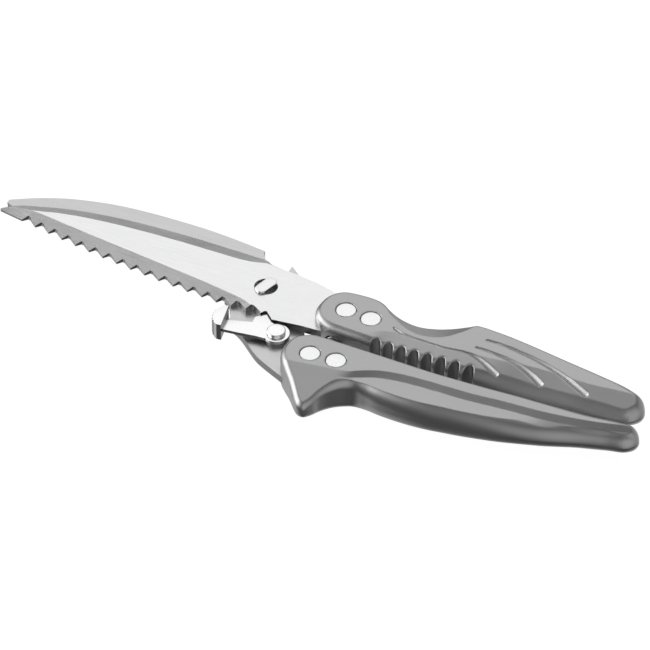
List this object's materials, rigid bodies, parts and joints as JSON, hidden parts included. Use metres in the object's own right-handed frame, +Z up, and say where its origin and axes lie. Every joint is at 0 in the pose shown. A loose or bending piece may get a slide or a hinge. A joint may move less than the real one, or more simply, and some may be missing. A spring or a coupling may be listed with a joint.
{
  "type": "poultry shears",
  "caption": "Spring-assisted poultry shears with a saw-edged blade, a bone notch, a thumb latch at the pivot and moulded grey handles.",
  "frame": {"origin": "centre of the bounding box in plan, on the surface the locked shears lie on", "axes": "+X from the blade tips to the handles, +Z up from the resting surface along the pivot's axis, +Y from the latch's side to the back of the blades"},
  "size_m": [0.253, 0.071, 0.015],
  "materials": {
    "front_blade": "satin ground stainless steel with duller ground bevels",
    "rear_blade": "satin ground stainless steel",
    "pivot": "polished",
    "latch": "bright plated",
    "rivets": "satin",
    "spring": "drawn wire",
    "handle": "satin moulded"
  },
  "bodies": {
    "lower_half": {"rear_blade": "rear_blade", "lower_handle": "handle", "pivot_stud": "pivot", "latch_rivet": "latch", "latch_washer": "pivot", "lower_rivet_bodies": "rivets", "lower_rivet_pins": "rivets", "return_spring": "spring"},
    "upper_half": {"front_blade": "front_blade", "upper_handle": "handle", "upper_rivet_bodies": "rivets", "upper_rivet_pins": "rivets"},
    "latch_lever": {"latch": "latch"}
  },
  "joints": [
    {"name": "shears_open", "type": "hinge", "parent": "lower_half", "child": "upper_half", "pos_m": [-0.0221, 0.01435, 0.0075], "axis": [0, 0, 1], "range_deg": [0, 40], "deforming": ["return_spring"]},
    {"name": "latch_swing", "type": "hinge", "parent": "lower_half", "child": "latch_lever", "pos_m": [-0.00867, -0.00493, 0.0075], "axis": [0, 0, 1], "range_deg": [0, 56]}
  ],
  "couplings": [
    {"joint": "latch_swing", "follows": "shears_open", "ratio": 1.4}
  ]
}
